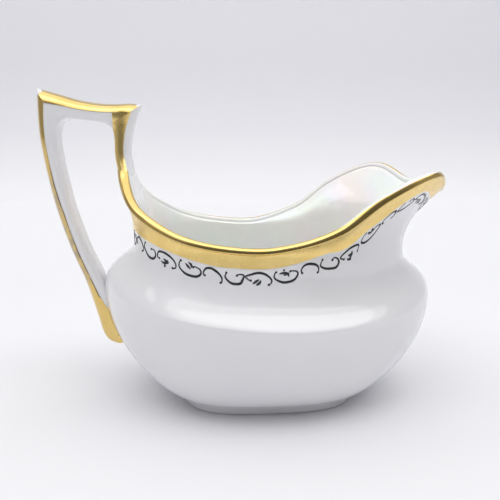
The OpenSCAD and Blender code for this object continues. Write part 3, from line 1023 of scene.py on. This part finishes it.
def gold_material(name, dark, light, smoothest, roughest):
    material, tree, shader, place = new_material(name)
    at_spout = spread(tree, place_on_axis(tree, place, "X"), PALE_SPOUT, 0, PALE_SHARE)
    worn = [worn_spot(tree, place, *spot) for spot in (WORN_CORNER, WORN_BEAK)]
    bare = combine(tree, "MAXIMUM", *worn)
    colour = blend_colours(tree, cloudy(tree, place, GOLD_SCALE, NARROW), dark, light)
    colour = blend_colours(tree, rubbing_of(tree, place), colour, RUBBED_GOLD)
    colour = blend_colours(tree, at_spout, colour, PALE_GOLD)
    colour = blend_colours(tree, specks_and_edge_line_of(tree, place), colour, DARK_SPECK_AND_LINE)
    tree.links.new(blend_colours(tree, bare, colour, BARE_GLAZE), shader.inputs["Base Color"])
    tree.links.new(spread(tree, bare, (0, 1), 1, 0), shader.inputs["Metallic"])
    roughen(tree, shader, place, GOLD_ROUGHNESS_SCALE, smoothest, roughest)
    bump_of(tree, shader, noise_of(tree, place, GOLD_GRAIN_SCALE), *GOLD_GRAIN)
    return material


# Enamel: near black, and worn thin towards the spout, by distance along the jug
ENAMEL_TONES = ((0.006, 0.008, 0.008), (0.035, 0.04, 0.04))
ENAMEL_SCALE = 400
ENAMEL_ROUGHNESS = (0.2, 0.4)
ENAMEL_ROUGHNESS_SCALE = 300
FADED_ENAMEL = (0.45, 0.45, 0.45)
FADED_PLACE = (44 * MM, 56 * MM)
FADED_SHARE = 0.55


def enamel_material():
    material, tree, shader, place = new_material("dark_enamel")
    colour = blend_colours(tree, noise_of(tree, place, ENAMEL_SCALE), *ENAMEL_TONES)
    faded = spread(tree, place_on_axis(tree, place, "X"), FADED_PLACE, 0, FADED_SHARE)
    tree.links.new(blend_colours(tree, faded, colour, FADED_ENAMEL), shader.inputs["Base Color"])
    roughen(tree, shader, place, ENAMEL_ROUGHNESS_SCALE, *ENAMEL_ROUGHNESS)
    return material


# The jug
porcelain = porcelain_material()
pearl = pearl_material()
enamel = enamel_material()
gold = gold_material("burnished_gold", *BURNISHED_TONES, *BURNISHED_ROUGHNESS)
# Satin gold for the band and stem: its roughness is the satin finish, its lighter tones a painted
# reflection of the pale floor
satin_gold_painted_lighter = gold_material("satin_gold_painted_lighter", *SATIN_TONES_PAINTED_LIGHTER, *SATIN_ROUGHNESS)
make_bowl(porcelain)
make_foot(porcelain)
make_handle(porcelain)
make_lining(pearl)
make_band(satin_gold_painted_lighter)
make_lip(gold)
make_handle_gilding(gold)
make_stem_gilding(satin_gold_painted_lighter)
make_terminal_gilding(gold)
make_border(enamel)

# Floor that sweeps up into a backdrop, as distance behind the jug and height in metres
SWEEP_FRONT = -1.6
SWEEP_BACK = 0.8
SWEEP_RADIUS = 0.2
SWEEP_TOP = 1.2
SWEEP_HALF_WIDTH = 2.0
SWEEP_STEPS = 12
# Colours of the floor near and far and of the backdrop, and where one passes into the next
FLOOR_NEAR = (0.83, 0.83, 0.85)
FLOOR_FAR = (0.93, 0.93, 0.945)
BACKDROP = (0.85, 0.85, 0.885)
FLOOR_ROUGHNESS = 0.8
FAR_FADE = (0.15, 0.6)
RISE_FADE = (0.015, 0.1)


def floor_material():
    material, tree, shader, place = new_material("pale_floor")
    behind = spread(tree, place_on_axis(tree, place, "Y"), FAR_FADE)
    rise = spread(tree, place_on_axis(tree, place, "Z"), RISE_FADE)
    colour = blend_colours(tree, behind, FLOOR_NEAR, FLOOR_FAR)
    tree.links.new(blend_colours(tree, rise, colour, BACKDROP), shader.inputs["Base Color"])
    shader.inputs["Roughness"].default_value = FLOOR_ROUGHNESS
    return material


def make_sweep():
    turns = np.linspace(0, 90, SWEEP_STEPS + 1)
    line = [(SWEEP_FRONT, 0.0)]
    line += [(SWEEP_BACK - SWEEP_RADIUS * (1 - sin_of(t)), SWEEP_RADIUS * (1 - cos_of(t))) for t in turns]
    line += [(SWEEP_BACK, SWEEP_TOP)]
    points = [(x, y, z) for y, z in line for x in (-SWEEP_HALF_WIDTH, SWEEP_HALF_WIDTH)]
    faces = grid_faces(len(line), 2, False, False)
    mesh = bpy.data.meshes.new("floor_sweep")
    mesh.from_pydata(points, [], faces)
    mesh.polygons.foreach_set("use_smooth", [True] * len(faces))
    mesh.materials.append(floor_material())
    sweep = bpy.data.objects.new("floor_sweep", mesh)
    bpy.context.scene.collection.objects.link(sweep)


def softbox(name, place, target, width, height, radiance):
    """Rectangular soft lamp whose panel has the given brightness, where 1 is white."""
    lamp = bpy.data.lights.new(name, "AREA")
    lamp.shape = "RECTANGLE"
    lamp.size = width
    lamp.size_y = height
    lamp.energy = radiance * math.pi * width * height
    box = bpy.data.objects.new(name, lamp)
    box.location = place
    way = Vector(target) - Vector(place)
    box.rotation_euler = way.to_track_quat("-Z", "Y").to_euler()
    bpy.context.scene.collection.objects.link(box)


make_sweep()
softbox("wide_softbox", place=(0, 0.1, 1.15), target=(0, 0.1, 0), width=2.8, height=1.3, radiance=1.15)
softbox("key_softbox", place=(0.1, -0.5, 1.1), target=(0.1, -0.5, 0), width=1.8, height=0.8, radiance=1.2)
softbox("left_softbox", place=(-0.85, -0.95, 1.1), target=(0, 0, 0.05), width=0.7, height=0.6, radiance=0.4)

# Grey room round the jug, darker in front, which is where the direction's Y part is low
ROOM = (0.36, 0.36, 0.37)
ROOM_FRONT = (0.14, 0.14, 0.14)
FRONT_FADE = (-0.62, -0.86)


def make_room():
    world = bpy.data.worlds.new("studio")
    world.use_nodes = True
    tree = world.node_tree
    way = place_on_axis(tree, tree.nodes.new("ShaderNodeTexCoord").outputs["Generated"], "Y")
    colour = blend_colours(tree, spread(tree, way, FRONT_FADE), ROOM, ROOM_FRONT)
    tree.links.new(colour, tree.nodes["Background"].inputs["Color"])
    bpy.context.scene.world = world


make_room()

# Camera at the photo's angle, with its place in metres and its angles in degrees
CAMERA_PLACE = (-0.02095, -0.1994, 0.08917)
CAMERA_TILT = 78.9
CAMERA_TURN = -4.438
SENSOR_WIDTH = 36
LENS = 41.77

camera = bpy.data.cameras.new("photo_camera")
camera.sensor_width = SENSOR_WIDTH
camera.lens = LENS
viewer = bpy.data.objects.new("photo_camera", camera)
viewer.location = CAMERA_PLACE
viewer.rotation_euler = (math.radians(CAMERA_TILT), 0, math.radians(CAMERA_TURN))
bpy.context.scene.collection.objects.link(viewer)
bpy.context.scene.camera = viewer
bpy.context.scene.view_settings.view_transform = "Standard"
